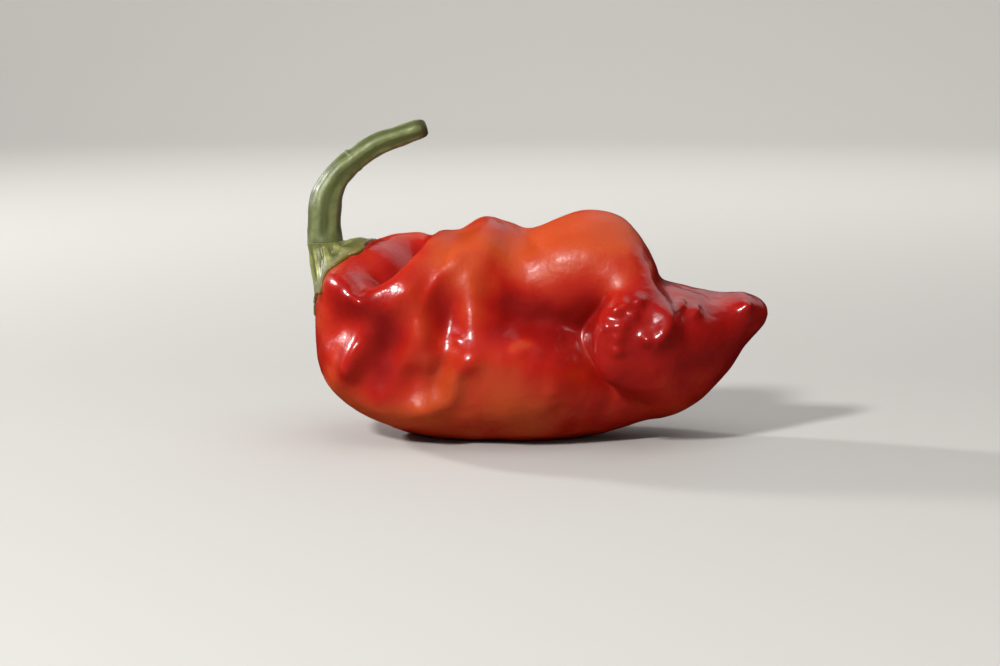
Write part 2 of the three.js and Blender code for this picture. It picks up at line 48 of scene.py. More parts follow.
pod = {
    "rings": 300, "sides": 320,
    "nearCloseness": 0.25,     # how much closer the points lie on the near side
    # a side's strokes grow in from this turn towards it, over this much more of the turn
    "nearFade": (-0.2, 0.45), "otherFade": (-0.1, 0.5),
    # the uneven skin: wave length, height, seed
    "unevenness": [(4.5, 0.035, 3), (1.6, 0.010, 5)],
    # how softly the skin turns on to the ground, and how far the weight presses it down there
    "groundSoftness": 0.06, "groundPress": 0.03,
    # crest x z, belly x z, reach to the near and the far side, and how far the middle lies back
    "sections": [
        [-23.2, 19.9, -23.2, 19.9, 0.0, 0.0, 1.8],
        [-21.4, 21.8, -24.7, 17.9, 2.8, 2.6, 1.7],
        [-19.7, 23.2, -26.0, 15.8, 5.9, 5.3, 1.4],
        [-17.5, 23.6, -26.4, 12.4, 8.8, 8.0, 0.9],
        [-14.6, 23.6, -25.7, 9.1, 10.7, 10.3, 0.5],
        [-11.8, 23.4, -23.8, 5.8, 11.8, 11.6, 0.2],
        [-9.0, 24.2, -19.9, 2.3, 12.5, 12.4, 0.0],
        [-6.2, 25.8, -15.4, 0.2, 12.8, 12.7, 0.0],
        [-3.4, 25.4, -10.1, -0.4, 12.9, 12.6, 0.0],
        [-0.5, 24.8, -4.3, -0.5, 12.8, 12.4, 0.0],
        [2.9, 25.8, 1.1, -0.5, 12.4, 12.0, 0.0],
        [6.7, 26.4, 6.2, 0.1, 12.0, 11.2, 0.0],
        [10.4, 25.7, 10.7, 0.8, 11.8, 9.8, -0.3],
        [13.2, 22.6, 14.3, 1.9, 11.4, 8.4, -0.6],
        [15.2, 19.1, 17.5, 3.2, 10.2, 7.0, -0.8],
        [18.8, 17.9, 20.4, 5.4, 8.2, 5.6, -0.8],
        [22.1, 17.5, 22.9, 8.0, 5.8, 4.3, -0.7],
        [24.7, 17.2, 24.8, 10.8, 3.9, 3.2, -0.6],
        [26.5, 16.6, 26.4, 12.5, 2.6, 2.4, -0.5],
        [27.4, 15.8, 27.3, 13.6, 1.5, 1.4, -0.5],
        [27.7, 14.7, 27.7, 14.7, 0.0, 0.0, -0.5],
    ],
    # the stalk end's near side leans out along this direction, as far as this section
    "stalkEnd": {"x": -0.79, "z": 0.61, "lean": 1.2, "reach": 4.0},
    # ridges (height above 0) and furrows (below 0) along smooth paths of x z: path, width, height
    "nearStrokes": {
        "middleHollow": ([(-4.3, 15.7), (-0.1, 14.9), (4.1, 13.3), (6.5, 10.9)], 4.2, -4.3),
        "lobeFace": ([(-2.4, 19.8), (2.9, 20.0), (7.4, 19.7)], 2.9, -0.6),
        "hollowTail": ([(5.9, 9.1), (7.7, 5.8), (10.1, 3.4), (13.7, 2.4)], 2.0, -1.6),
        "upperLobe": ([(0.0, 21.5), (6.0, 22.5), (10.0, 21.5)], 4.5, 0.6),
        "lobeRim": ([(11.9, 22.4), (11.6, 20.4)], 1.4, 0.2),
        "noseBody": ([(12.6, 13.3), (15.0, 9.8)], 4.2, 3.2),
        "noseRim": ([(11.8, 16.6), (11.0, 15.0), (10.2, 12.4), (10.2, 9.4), (12.0, 6.0)], 1.8, 1.0),
        "noseRidge": ([(14.2, 15.5), (15.3, 14.2), (15.1, 12.6), (14.2, 11.2)], 1.1, 0.3),
        "noseBack": ([(17.5, 13.0), (20.5, 12.5)], 3.2, 1.2),
        "noseLump": ([(18.8, 15.1)], 1.0, 0.3),
        "noseMoat": ([(8.6, 17.4), (6.8, 15.2), (5.6, 12.9), (5.3, 10.6), (6.1, 7.9)], 2.3, -1.5),
        "noseGroove": ([(8.4, 16.4), (7.0, 13.9), (6.4, 11.2), (6.8, 8.7), (8.3, 6.1), (10.2, 4.2)],
                       1.0, -1.2),
        "tipKnob": ([(25.2, 15.2)], 1.7, 0.8),
        "tipNeck": ([(21.6, 16.8)], 1.2, -0.5),
        "bellyLobe": ([(-6.5, 5.3), (2.9, 4.1)], 3.6, 1.4),
        "bellyBrow": ([(-8.0, 9.4), (-5.3, 9.3), (-1.9, 9.4), (1.1, 8.3), (3.3, 6.1)], 2.0, 0.7),
        "browPeak": ([(-2.6, 10.5), (-0.8, 10.7)], 1.0, 0.3),
        "lobeKnob": ([(-8.5, 10.2), (-8.6, 9.0)], 1.8, 1.0),
        "uprightRidge": ([(-8.1, 20.0), (-7.6, 17.0), (-7.6, 12.5)], 1.5, 0.35),
        "crestRoll": ([(-14.4, 17.2), (-12.2, 19.7), (-9.8, 22.3)], 2.6, 1.7),
        "crestBrink": ([(-15.2, 18.7), (-12.8, 21.3), (-10.4, 23.7)], 1.4, 0.6),
        "topLobe": ([(-7.2, 22.4), (-4.6, 23.0)], 3.2, 1.3),
        "thirdPocket": ([(-10.9, 17.6), (-10.7, 13.9), (-11.0, 10.3)], 2.3, -2.0),
        "thirdPocketRidge": ([(-14.6, 17.0), (-14.0, 13.9), (-13.5, 10.3)], 1.4, 0.6),
        "secondPocket": ([(-17.4, 13.3), (-17.9, 10.3), (-18.4, 7.9)], 2.4, -1.5),
        "secondPocketEdge": ([(-15.5, 11.9), (-15.7, 9.7), (-16.8, 7.7)], 0.9, 0.1),
        "secondPocketRidge": ([(-19.8, 13.7), (-20.7, 11.3), (-21.7, 8.9), (-22.8, 7.0)], 1.5, 1.1),
        "firstPocket": ([(-23.3, 14.2), (-23.7, 12.2)], 1.6, -1.1),
        "lowerDimple": ([(-23.7, 9.7)], 1.2, -0.5),
        "bentCrest": ([(-22.3, 17.3), (-20.9, 16.1), (-19.3, 15.2), (-17.8, 15.9), (-16.4, 17.0),
                       (-14.9, 18.4)], 2.0, 1.8),
        "saddle": ([(-20.2, 20.4), (-17.8, 19.5), (-15.6, 21.7), (-13.0, 24.0)], 2.0, -3.3),
        "leftShoulder": ([(-23.2, 18.0)], 2.0, 1.3),
        "lowPocket": ([(-15.4, 6.6), (-13.6, 6.4)], 2.0, -2.2),
        "bellyLip": ([(-9.2, 9.2), (-9.7, 7.0), (-10.3, 4.3)], 1.1, 0.5),
        "lipGutter": ([(-11.1, 9.0), (-11.6, 6.7), (-12.4, 5.0)], 1.3, -1.2),
        "lowerRim": ([(-25.0, 10.3), (-23.8, 7.4), (-20.9, 5.0), (-16.3, 3.5), (-12.0, 3.4)], 1.8, 1.0),
        "lobeCleft": ([(-1.8, 25.3), (-2.8, 22.7), (-4.0, 20.2)], 2.3, -0.8),
        "noseNotch": ([(15.4, 19.9), (14.9, 18.2)], 0.9, -0.5),
    },
    # the other sides: x y from above and from beneath, x z from behind
    "topStrokes": {
        "backLobe": ([(-16.5, 4.0), (-12.5, 3.6)], 3.6, 2.2),
        "middleSwell": ([(-8.0, 3.0), (-2.0, 2.0)], 3.5, 0.6),
        "farSwell": ([(7.0, 1.0)], 5.0, 0.6),
        "farFurrow": ([(-8.0, 8.0), (2.0, 9.0), (10.0, 7.0)], 2.6, -2.0),
    },
    "backStrokes": {
        "leftFurrow": ([(-14.0, 17.0), (-6.0, 14.0), (4.0, 13.0)], 3.2, -2.8),
        "rightFurrow": ([(3.0, 13.0), (9.0, 9.0), (14.0, 8.0)], 2.8, -2.4),
        "stalkPocket": ([(-18.5, 13.0), (-17.0, 7.0)], 2.2, -1.6),
        "lowerPocket": ([(-9.0, 8.0), (-10.0, 3.0)], 2.2, -1.4),
        "upperPocket": ([(10.0, 17.0), (12.0, 20.0)], 2.6, -1.6),
        "middleRib": ([(-1.0, 9.0), (3.0, 5.0)], 2.4, 1.1),
        "leftRib": ([(-13.0, 12.0), (-14.0, 5.0)], 1.8, 1.1),
    },
    "underStrokes": {
        "keelFurrow": ([(-19.0, -2.0), (-13.0, -3.0)], 1.8, -0.9),
        "noseFurrow": ([(9.0, 0.0), (17.0, -1.0)], 1.8, -0.8),
    },
    # pimples and wrinkles too small for the CAD, placed where the folded skin is seen
    "pimples": [(9.5, 15.1), (10.6, 15.8), (8.5, 13.1), (10.2, 13.2), (9.7, 11.8), (9.7, 10.3),
                (13.2, 11.6), (11.6, 14.5), (12.3, 16.2), (17.4, 15.6), (19.1, 14.8), (25.1, 15.4)],
    "pimpleWidth": 0.75, "pimpleHeight": 0.7,
    "wrinkles": {
        "noseCurl": ([(14.8, 15.4), (15.7, 14.3), (15.4, 12.7), (14.4, 11.0)], 1.0, 0.9),
        "bentBead": ([(-22.0, 16.5), (-20.9, 15.7), (-20.0, 15.0), (-19.0, 14.5), (-17.7, 15.1),
                      (-16.5, 15.9), (-15.4, 17.0), (-14.4, 17.8)], 1.2, 0.35),
        "bentStart": ([(-22.0, 16.6)], 0.9, 0.7),
        "bentMiddle": ([(-20.9, 15.7)], 0.9, 0.7),
        "crestBead": ([(-13.1, 15.6), (-11.9, 18.0), (-11.0, 19.4), (-10.0, 20.5), (-8.8, 21.9)],
                      1.0, 0.6),
        "leftFold": ([(-18.9, 13.4), (-19.1, 11.2)], 1.3, 0.6),
        "rimBumpHigh": ([(-22.1, 10.0)], 1.4, 0.7),
        "rimBumpLow": ([(-22.3, 8.2)], 1.3, 1.0),
        "rimBumpLeft": ([(-24.4, 10.2), (-24.5, 9.2)], 1.0, 0.8),
        "lowerFold": ([(-14.8, 3.4), (-11.8, 3.3)], 1.1, 0.8),
        "lowerBump": ([(-18.6, 4.7)], 1.2, 0.35),
        "gutterFold": ([(-10.3, 7.9), (-11.1, 6.3)], 1.2, 0.8),
        "knobBump": ([(-8.0, 9.0)], 1.5, 0.7),
        "knobPimple": ([(-9.5, 11.6)], 0.6, 0.4),
    },
    # where a fold hangs over or a lobe fills out: path, width, push in x y z
    "nearLeans": {
        "noseEdge": ([(11.0, 16.2), (9.6, 12.8), (9.6, 9.4), (11.4, 5.8)], 2.0, (-2.3, 0.0, 0.0)),
        "crestEdge": ([(-19.0, 15.6), (-15.8, 18.0), (-12.4, 21.0), (-9.6, 23.6)],
                      1.7, (-0.7, 0.0, 0.7)),
        "lobeBrow": ([(0.5, 22.6), (4.5, 23.4), (9.0, 22.8)], 3.0, (0.0, -1.0, 0.0)),
        "topBrow": ([(-8.0, 23.6), (-4.5, 24.0)], 2.4, (0.0, -1.0, 0.0)),
    },
    # the colour, from 0 crimson to 1 orange: its mean on the near side and on the others
    "nearBlush": 0.42, "otherBlush": 0.45,
    # on the others, more orange on the crests, the belly and the ridges, and less on the nose; the
    # orange on the crests and ridges and the crimson in the furrows are partly painted light and shade
    "crestHeight": 26.0, "endsBlush": 1.8, "reliefBlush": 0.18,
    "noseBlush": -0.9, "noseFrom": 8.0, "noseOver": 10.0,
    "blotches": [(9.0, 0.10, 11), (3.0, 0.05, 12)],
    # painted shade: the flesh is darkened in furrows deeper than this, over this much more depth, up to
    # this share
    "hollowShadeFrom": 1.5, "hollowShadeOver": 8.0, "hollowShadeMost": 0.25,
    # more orange (above 0) or more crimson (below 0), as near side strokes; the orange along the lobes'
    # tops is partly a painted sheen, and the crimson in the middle hollow partly painted shade
    "blushStrokes": {
        "belly": ([(-14.0, 2.0), (-4.0, 4.0), (3.0, 4.0)], 4.2, 0.5),
        "brow": ([(-8.2, 9.0), (-4.0, 8.6)], 1.8, 0.3),
        "browPeak": ([(-3.2, 10.5), (-1.6, 11.0), (0.0, 10.6)], 0.7, 0.6),
        "lowerRim": ([(-24.6, 7.6), (-22.5, 4.6), (-19.0, 3.2), (-12.0, 2.6)], 1.6, 0.8),
        "lip": ([(-9.6, 8.0), (-10.2, 4.4)], 1.2, 0.25),
        # orange along the upper lobe's top and over its face: partly its colour, partly a painted sheen
        # where light grazes the top
        "upperLobe": ([(-1.0, 24.6), (3.0, 25.0), (9.0, 25.4), (12.0, 22.5)], 2.6, 0.75),
        "lobeFace": ([(-1.0, 21.8), (4.0, 21.6), (8.0, 22.0)], 2.4, 0.35),
        "lobeCorner": ([(10.0, 18.6)], 1.7, 0.4),
        # orange over the middle lobe's top: partly its colour, partly a painted sheen
        "topLobe": ([(-12.0, 20.0), (-8.0, 23.5), (-4.0, 23.5), (-1.0, 22.0)], 2.6, 0.6),
        "uprightRidge": ([(-7.8, 19.5), (-7.8, 12.5)], 1.8, 0.25),
        "pocketRidge": ([(-14.4, 17.0), (-13.6, 10.5)], 1.4, 0.15),
        # more crimson in the middle hollow: partly its colour, partly painted shade
        "hollowShade": ([(-4.0, 15.0), (3.0, 14.0), (6.5, 11.0)], 3.4, -0.7),
        "thirdPocket": ([(-10.8, 18.0), (-11.0, 11.5)], 1.8, -0.35),
        "secondPocket": ([(-17.8, 13.5), (-18.4, 8.0)], 2.0, -0.45),
        "nose": ([(12.0, 12.0), (20.0, 12.0), (26.0, 14.0)], 4.4, -0.75),
        "leftLobes": ([(-24.0, 16.0), (-18.0, 14.0)], 3.5, -0.4),
        "saddle": ([(-20.0, 20.0), (-14.0, 22.5)], 2.6, -0.5),
    },
}


def seenFrom(points):
    # where the eye sees points, on the upright plane through the pod's middle
    rise = math.radians(eye["riseDeg"])
    height = points[..., 2] - eye["z"]
    up = points[..., 1]*math.sin(rise) + height*math.cos(rise)
    depth = eye["distance"] + points[..., 1]*math.cos(rise) - height*math.sin(rise)
    zoom = eye["distance"]/depth
    return eye["x"] + (points[..., 0] - eye["x"])*zoom, eye["z"] + up*zoom


def splineRows(rows, t):
    # rows at the places t between them, on a uniform Catmull-Rom spline
    rows = np.asarray(rows, float)
    padded = np.vstack([2*rows[0] - rows[1], rows, 2*rows[-1] - rows[-2]])
    i = np.clip(np.floor(t).astype(int), 0, len(rows) - 2)
    f = np.asarray(t - i)[..., None]
    a, b, c, d = (padded[i + k] for k in range(4))
    return 0.5*(2*b + (c - a)*f + (2*a - 5*b + 4*c - d)*f**2 + (3*b - a - 3*c + d)*f**3)


def smoothStep(x):
    x = np.clip(x, 0, 1)
    return x*x*(3 - 2*x)


def strokeHeight(strokes, u, w):
    # the sum over short pieces of each path of length times exp(-distance^2/width^2),
    # over root pi times width, so that a long straight stroke has its full height on its line
    pieces = 8                 # between two points of a path
    total = np.zeros(u.shape)
    for path, width, height in strokes.values():
        path = np.asarray(path, float)
        if len(path) == 1:
            middles = path
            weights = [height]
        else:
            last = len(path) - 1
            points = splineRows(path, np.linspace(0, last, last*pieces + 1))
            middles = (points[1:] + points[:-1])/2
            lengths = np.linalg.norm(np.diff(points, axis=0), axis=1)
            weights = height*lengths/(math.sqrt(math.pi)*width)
        for (x, z), weight in zip(middles, weights):
            total += weight*np.exp(-((u - x)**2 + (w - z)**2)/width**2)
    return total


def podBase(t, v):
    # half ellipses through crest and belly: t runs along the sections,
    # v once round from the far side over the crest
    s = np.moveaxis(splineRows(pod["sections"], t), -1, 0)
    crestX, crestZ, bellyX, bellyZ, near, far, back = s
    end = pod["stalkEnd"]
    side = np.cos(v)
    lean = np.where(t < end["reach"], end["lean"]*np.sin(math.pi*t/end["reach"])**2, 0)
    x = (crestX + bellyX)/2 + (crestX - bellyX)/2*np.sin(v) - end["x"]*lean*side
    y = back + np.where(side < 0, near, far)*side
    z = (crestZ + bellyZ)/2 + (crestZ - bellyZ)/2*np.sin(v) - end["z"]*lean*side
    return np.stack([x, y, z], -1)


def podNormal(t, v):
    # across both tangents, which come from small steps each way, clear of the poles
    step = 0.01
    clear = 0.05
    last = len(pod["sections"]) - 1
    at = np.clip(t, clear, last - clear)
    along = podBase(at + step, v) - podBase(at - step, v)
    around = podBase(at, v + step) - podBase(at, v - step)
    normal = np.cross(around, along)
    return normal/np.linalg.norm(normal, axis=-1, keepdims=True)


def waves(points, size, seed):
    # smooth noise of about unit height: sine waves of about one length in random directions
    count = 24
    shortest = 0.7
    longest = 1.5
    rng = np.random.default_rng(seed)
    total = np.zeros(points.shape[:-1])
    for _ in range(count):
        direction = rng.normal(size=3)
        direction *= 2*math.pi/(size*rng.uniform(shortest, longest)*np.linalg.norm(direction))
        total += np.sin(points @ direction + rng.uniform(0, 2*math.pi))
    return total*math.sqrt(2/count)


def facingShare(turned, fade):
    # 0 where the skin is turned away from a side, 1 where it faces it
    return smoothStep((turned - fade[0])/fade[1])


def podSkin(t, v, lift=0.0, fine=True):
    # the base pushed out along its normal by the relief, leaned at the folds and pressed flat
    # on the ground; gives the relief and the share of the near side too
    base = podBase(t, v)
    normal = podNormal(t, v)
    x, y, z = np.moveaxis(base, -1, 0)
    u, w = seenFrom(base)
    rise = math.radians(eye["riseDeg"])
    facing = normal[..., 2]*math.sin(rise) - normal[..., 1]*math.cos(rise)
    near = facingShare(facing, pod["nearFade"])
    other = pod["otherFade"]
    relief = strokeHeight(pod["nearStrokes"], u, w)*near
    relief += strokeHeight(pod["topStrokes"], x, y)*facingShare(normal[..., 2], other)
    relief += strokeHeight(pod["backStrokes"], x, z)*facingShare(normal[..., 1], other)
    relief += strokeHeight(pod["underStrokes"], x, y)*facingShare(-normal[..., 2], other)
    skin = base + normal*(relief + lift)[..., None]
    for path, width, push in pod["nearLeans"].values():
        share = strokeHeight({0: (path, width, 1.0)}, u, w)*near
        skin += share[..., None]*np.array(push)
    if fine:
        width, height = pod["pimpleWidth"], pod["pimpleHeight"]
        pimples = {k: ([point], width, height) for k, point in enumerate(pod["pimples"])}
        small = strokeHeight({**pimples, **pod["wrinkles"]}, *seenFrom(skin))*near
        small += sum(height*waves(base, size, seed) for size, height, seed in pod["unevenness"])
        skin += normal*small[..., None]
    # a soft maximum of the height and the ground's
    level = skin[..., 2]
    pressed = pod["groundPress"]*np.exp(-level**2)
    level = (level + np.sqrt(level**2 + pod["groundSoftness"]**2))/2 - pressed
    skin[..., 2] = np.maximum(level, 0)
    return skin, relief, near


def blush(t, v):
    # 1 where the skin is orange, 0 where it is crimson: drawn by strokes on the near side, guessed on
    # the other sides, with soft blotches; partly the skin's colour, partly painted sheen on the tops
    # and painted shade in the hollow and furrows
    base = podBase(t, v)
    _, relief, near = podSkin(t, v, fine=False)
    drawn = pod["nearBlush"] + strokeHeight(pod["blushStrokes"], *seenFrom(base))
    guessed = pod["otherBlush"] + pod["endsBlush"]*(base[..., 2]/pod["crestHeight"] - 0.5)**2
    guessed += pod["noseBlush"]*smoothStep((base[..., 0] - pod["noseFrom"])/pod["noseOver"])
    # partly painted light and shade: more orange on the ridges, more crimson in the furrows
    guessed += pod["reliefBlush"]*relief
    blotches = sum(height*waves(base, size, seed) for size, height, seed in pod["blotches"])
    return np.clip(drawn*near + guessed*(1 - near) + blotches, 0, 1)


def place(points):
    # from the drawing's millimetres to the frame's metres
    return (points - np.array([middle[0], middle[1], 0]))*mm


def shellMesh(name, first, rings, last, attributes):
    # a closed mesh from a first point over rings (ring, side, xyz) to a last point; each ring turns
    # right-handed about the way from the first point to the last; an attribute has a value for the
    # first point, the rings and the last point
    count, sides = rings.shape[:2]
    points = place(np.vstack([first[None], rings.reshape(-1, 3), last[None]]))
    low = 1 + np.arange(count*sides).reshape(count, sides)
    nxt = np.roll(low, -1, axis=1)
    quads = np.stack([low[:-1], nxt[:-1], nxt[1:], low[1:]], -1).reshape(-1, 4)
    top = np.full(sides, len(points) - 1)
    fans = np.vstack([
        np.stack([np.zeros(sides, int), nxt[0], low[0]], 1),
        np.stack([low[-1], nxt[-1], top], 1),
    ])
    mesh = bpy.data.meshes.new(name)
    mesh.from_pydata(points.tolist(), [], quads.tolist() + fans.tolist())
    mesh.shade_smooth()
    for key, (start, values, end) in attributes.items():
        layer = mesh.attributes.new(key, "FLOAT", "POINT")
        row = np.concatenate([[start], values.ravel(), [end]])
        layer.data.foreach_set("value", row.astype(np.float32))
    piece = bpy.data.objects.new(name, mesh)
    bpy.context.scene.collection.objects.link(piece)
    return piece


def linear(hexText):
    # an sRGB hex colour as linear RGBA
    srgb = np.array([int(hexText[k:k + 2], 16) for k in (1, 3, 5)])/255
    rgb = np.where(srgb <= 0.04045, srgb/12.92, ((srgb + 0.055)/1.055)**2.4)
    return (*map(float, rgb), 1.0)


def addNode(tree, kind, inputs=None, **settings):
    # one node with its settings; an input that is given a socket is linked, else it is set
    node = tree.nodes.new(kind)
    for key, value in settings.items():
        setattr(node, key, value)
    for key, value in (inputs or {}).items():
        if isinstance(value, bpy.types.NodeSocket):
            tree.links.new(value, node.inputs[key])
        else:
            node.inputs[key].default_value = value
    return node


def newMaterial(name):
    material = bpy.data.materials.new(name)
    material.use_nodes = True
    tree = material.node_tree
    tree.nodes.clear()
    output = addNode(tree, "ShaderNodeOutputMaterial")
    return material, tree, output


def ramp(tree, factor, stops):
    node = addNode(tree, "ShaderNodeValToRGB", {"Fac": factor})
    elements = node.color_ramp.elements
    while len(elements) < len(stops):
        elements.new(0.5)
    for element, (position, colour) in zip(elements, stops):
        element.position = position
        element.color = linear(colour)
    return node.outputs["Color"]


def noise(tree, where, size, detail):
    # cloudy noise of a size in millimetres
    return addNode(tree, "ShaderNodeTexNoise", {
        "Vector": where, "Scale": 1/(size*mm), "Detail": detail}).outputs["Fac"]


def mapRange(tree, value, old, new):
    return addNode(tree, "ShaderNodeMapRange", {
        "Value": value, "From Min": old[0], "From Max": old[1],
        "To Min": new[0], "To Max": new[1]}).outputs["Result"]


def mixColour(tree, share, first, second):
    return addNode(tree, "ShaderNodeMix", {
        "Factor": share, "A": first, "B": second}, data_type="RGBA").outputs["Result"]


def podMaterial():
    # waxy skin of a ripe berry, grown: a clear cuticle over slightly see-through flesh, so the
    # crimson folds have small bright highlights, the orange lobes a dull sheen, and thin rims glow
    material, tree, output = newMaterial("waxyPodSkin")
    place3d = addNode(tree, "ShaderNodeTexCoord").outputs["Object"]
    ripe = addNode(tree, "ShaderNodeAttribute", attribute_name="blush").outputs["Fac"]
    depth = addNode(tree, "ShaderNodeAttribute", attribute_name="hollowShade").outputs["Fac"]
    # blotches 2.5 mm across shift the colour a little
    blotch = noise(tree, place3d, 2.5, 3.0)
    drift = mapRange(tree, blotch, (0.3, 0.7), (-0.07, 0.07))
    mixed = addNode(tree, "ShaderNodeMath", {0: ripe, 1: drift}, operation="ADD").outputs["Value"]
    flesh = ramp(tree, mixed, [
        (0.0, "#8C0D09"), (0.3, "#A2150B"), (0.55, "#AC250D"), (0.8, "#AF350F"), (1.0, "#B23F10")])
    # painted shade: the flesh is mixed towards dark crimson in deep furrows
    deep = mixColour(tree, depth, flesh, linear("#720A07"))
    # the skin's cells, drawn 0.5 mm apart, larger than life
    cells = addNode(tree, "ShaderNodeTexVoronoi", {"Vector": place3d, "Scale": 1/(0.5*mm)})
    pebbles = addNode(tree, "ShaderNodeBump", {
        "Height": cells.outputs["Distance"], "Strength": 0.5, "Distance": 0.035*mm}, invert=True)
    # the cuticle's pebbly grain, 0.7 mm, and softer waves of 1.6 mm
    grains = addNode(tree, "ShaderNodeBump", {
        "Height": noise(tree, place3d, 0.7, 1.0), "Strength": 0.4, "Distance": 0.05*mm,
        "Normal": pebbles.outputs["Normal"]})
    bump = addNode(tree, "ShaderNodeBump", {
        "Height": noise(tree, place3d, 1.6, 1.0), "Strength": 0.5, "Distance": 0.12*mm,
        "Normal": grains.outputs["Normal"]})
    # the smooth orange lobes are duller than the crimson folds
    orange = (0.45, 0.8)
    gloss = mapRange(tree, mixed, orange, (0.3, 0.45))
    glaze = mapRange(tree, mixed, orange, (0.7, 0.05))
    skin = addNode(tree, "ShaderNodeBsdfPrincipled", {
        "Base Color": deep, "Roughness": gloss, "IOR": 1.45,
        "Subsurface Weight": 0.35, "Subsurface Radius": (1.0, 0.25, 0.08), "Subsurface Scale": 1.6*mm,
        "Coat Weight": glaze, "Coat Roughness": 0.17, "Coat IOR": 1.45,
        "Normal": bump.outputs["Normal"], "Coat Normal": bump.outputs["Normal"]})
    tree.links.new(skin.outputs["BSDF"], output.inputs["Surface"])
    return material


def makePod():
    last = len(pod["sections"]) - 1
    t = np.linspace(0, last, pod["rings"] + 1)[:, None] + np.zeros((1, pod["sides"]))
    turn = np.linspace(0, 2*math.pi, pod["sides"], endpoint=False)[None, :]
    v = turn + pod["nearCloseness"]*np.sin(turn) + 0*t
    skin, relief, _ = podSkin(t, v)
    colour = blush(t, v)
    # painted shade: how far the flesh is darkened in furrows, by their depth
    hollowShade = np.clip((-relief - pod["hollowShadeFrom"])/pod["hollowShadeOver"], 0, pod["hollowShadeMost"])
    attributes = {
        "blush": (colour[0, 0], colour[1:-1], colour[-1, 0]),
        "hollowShade": (hollowShade[0, 0], hollowShade[1:-1], hollowShade[-1, 0]),
    }
    piece = shellMesh("ripe_pod", skin[0, 0], skin[1:-1], skin[-1, 0], attributes)
    piece.data.materials.append(podMaterial())
    return piece


calyx = {
    "sides": 180, "innerRings": 8, "outerRings": 60,
    # the margin, as a place along the pod's sections, with teeth, a notch and a wobble: how many
    # round, depth, turn
    "margin": 2.08, "toothReach": 0.4, "teeth": 5, "toothTurn": 1.2, "toothPower": 3, "nearDraw": 0.05,
    "notchTurn": 2.3, "notchDepth": 0.2, "notchWidth": 0.12,
    "wobble": [(3, 0.05, 1), (11, 0.03, 0), (23, 0.02, 2)],
    # the rim and the shoulder lie at these shares of the margin, so thick over the pod's skin
    "rimAt": 0.985, "rimThickness": 0.38, "shoulderAt": 0.5, "shoulder": 1.4, "crestShoulder": 1.5,
    "sink": 0.03,              # how far the underside lies in the pod's skin
    # ribs that fade at both ends, and an uneven surface that fades at the neck
    "ribs": 10, "ribHeight": 0.22, "ribPower": 1.5, "fineRibs": 31, "fineHeight": 0.05, "fineTwist": 3,
    "ribStart": 0.35, "ribEnd": 0.5,
    "roughSize": 2.2, "roughHeight": 0.05, "roughSeed": 21, "roughEnd": 3,
    # the neck, its flare on the crest's side, and the lid that closes it inside the stalk
    "neck": (-25.3, 1.8, 23.3), "neckUp": (-0.05, 0.0, 1.0), "neckRadius": 2.16, "neckRise": 1.4,
    "crestLevel": 0.6, "crestFlare": 1.0, "lid": 0.1,
    # how pale the tissue is: underneath, at the rim, more towards the neck, where the paleness is a
    # painted highlight, and on the ribs
    "underShade": 0.3, "rimShade": 0.1, "neckHighlight": 0.45, "ribShade": 0.9, "lidShade": 0.5,
    # body, pale and edge colour, and how the edge colour fades in: along from, to, most
    "colours": ("#4A4E1F", "#8F9050", "#6B5D1C"), "edgeFade": (0.28, 0.0, 0.8),
}


def unit(vector):
    vector = np.asarray(vector, float)
    return vector/np.linalg.norm(vector, axis=-1, keepdims=True)


def ringPoint(centre, up, radius, v):
    # a point about a middle line: v = 90 degrees is the crest's side, v = 0 the far side
    across = unit(np.stack([up[..., 2], 0*up[..., 0], -up[..., 0]], -1))
    deep = np.cross(up, across)
    return centre + radius[..., None]*(across*np.sin(v)[..., None] + deep*np.cos(v)[..., None])


def calyxMargin(v):
    # teeth point outwards along the pod, and the margin draws back on the near side
    tooth = (0.5 + 0.5*np.cos(calyx["teeth"]*v + calyx["toothTurn"]))**calyx["toothPower"]
    wobble = sum(depth*np.sin(count*v + turn) for count, depth, turn in calyx["wobble"])
    notch = calyx["notchDepth"]*np.exp((np.cos(v - calyx["notchTurn"]) - 1)/calyx["notchWidth"])
    draw = calyx["nearDraw"]*np.maximum(0, -np.cos(v))**2
    return calyx["margin"] + calyx["toothReach"]*tooth - draw - notch + wobble


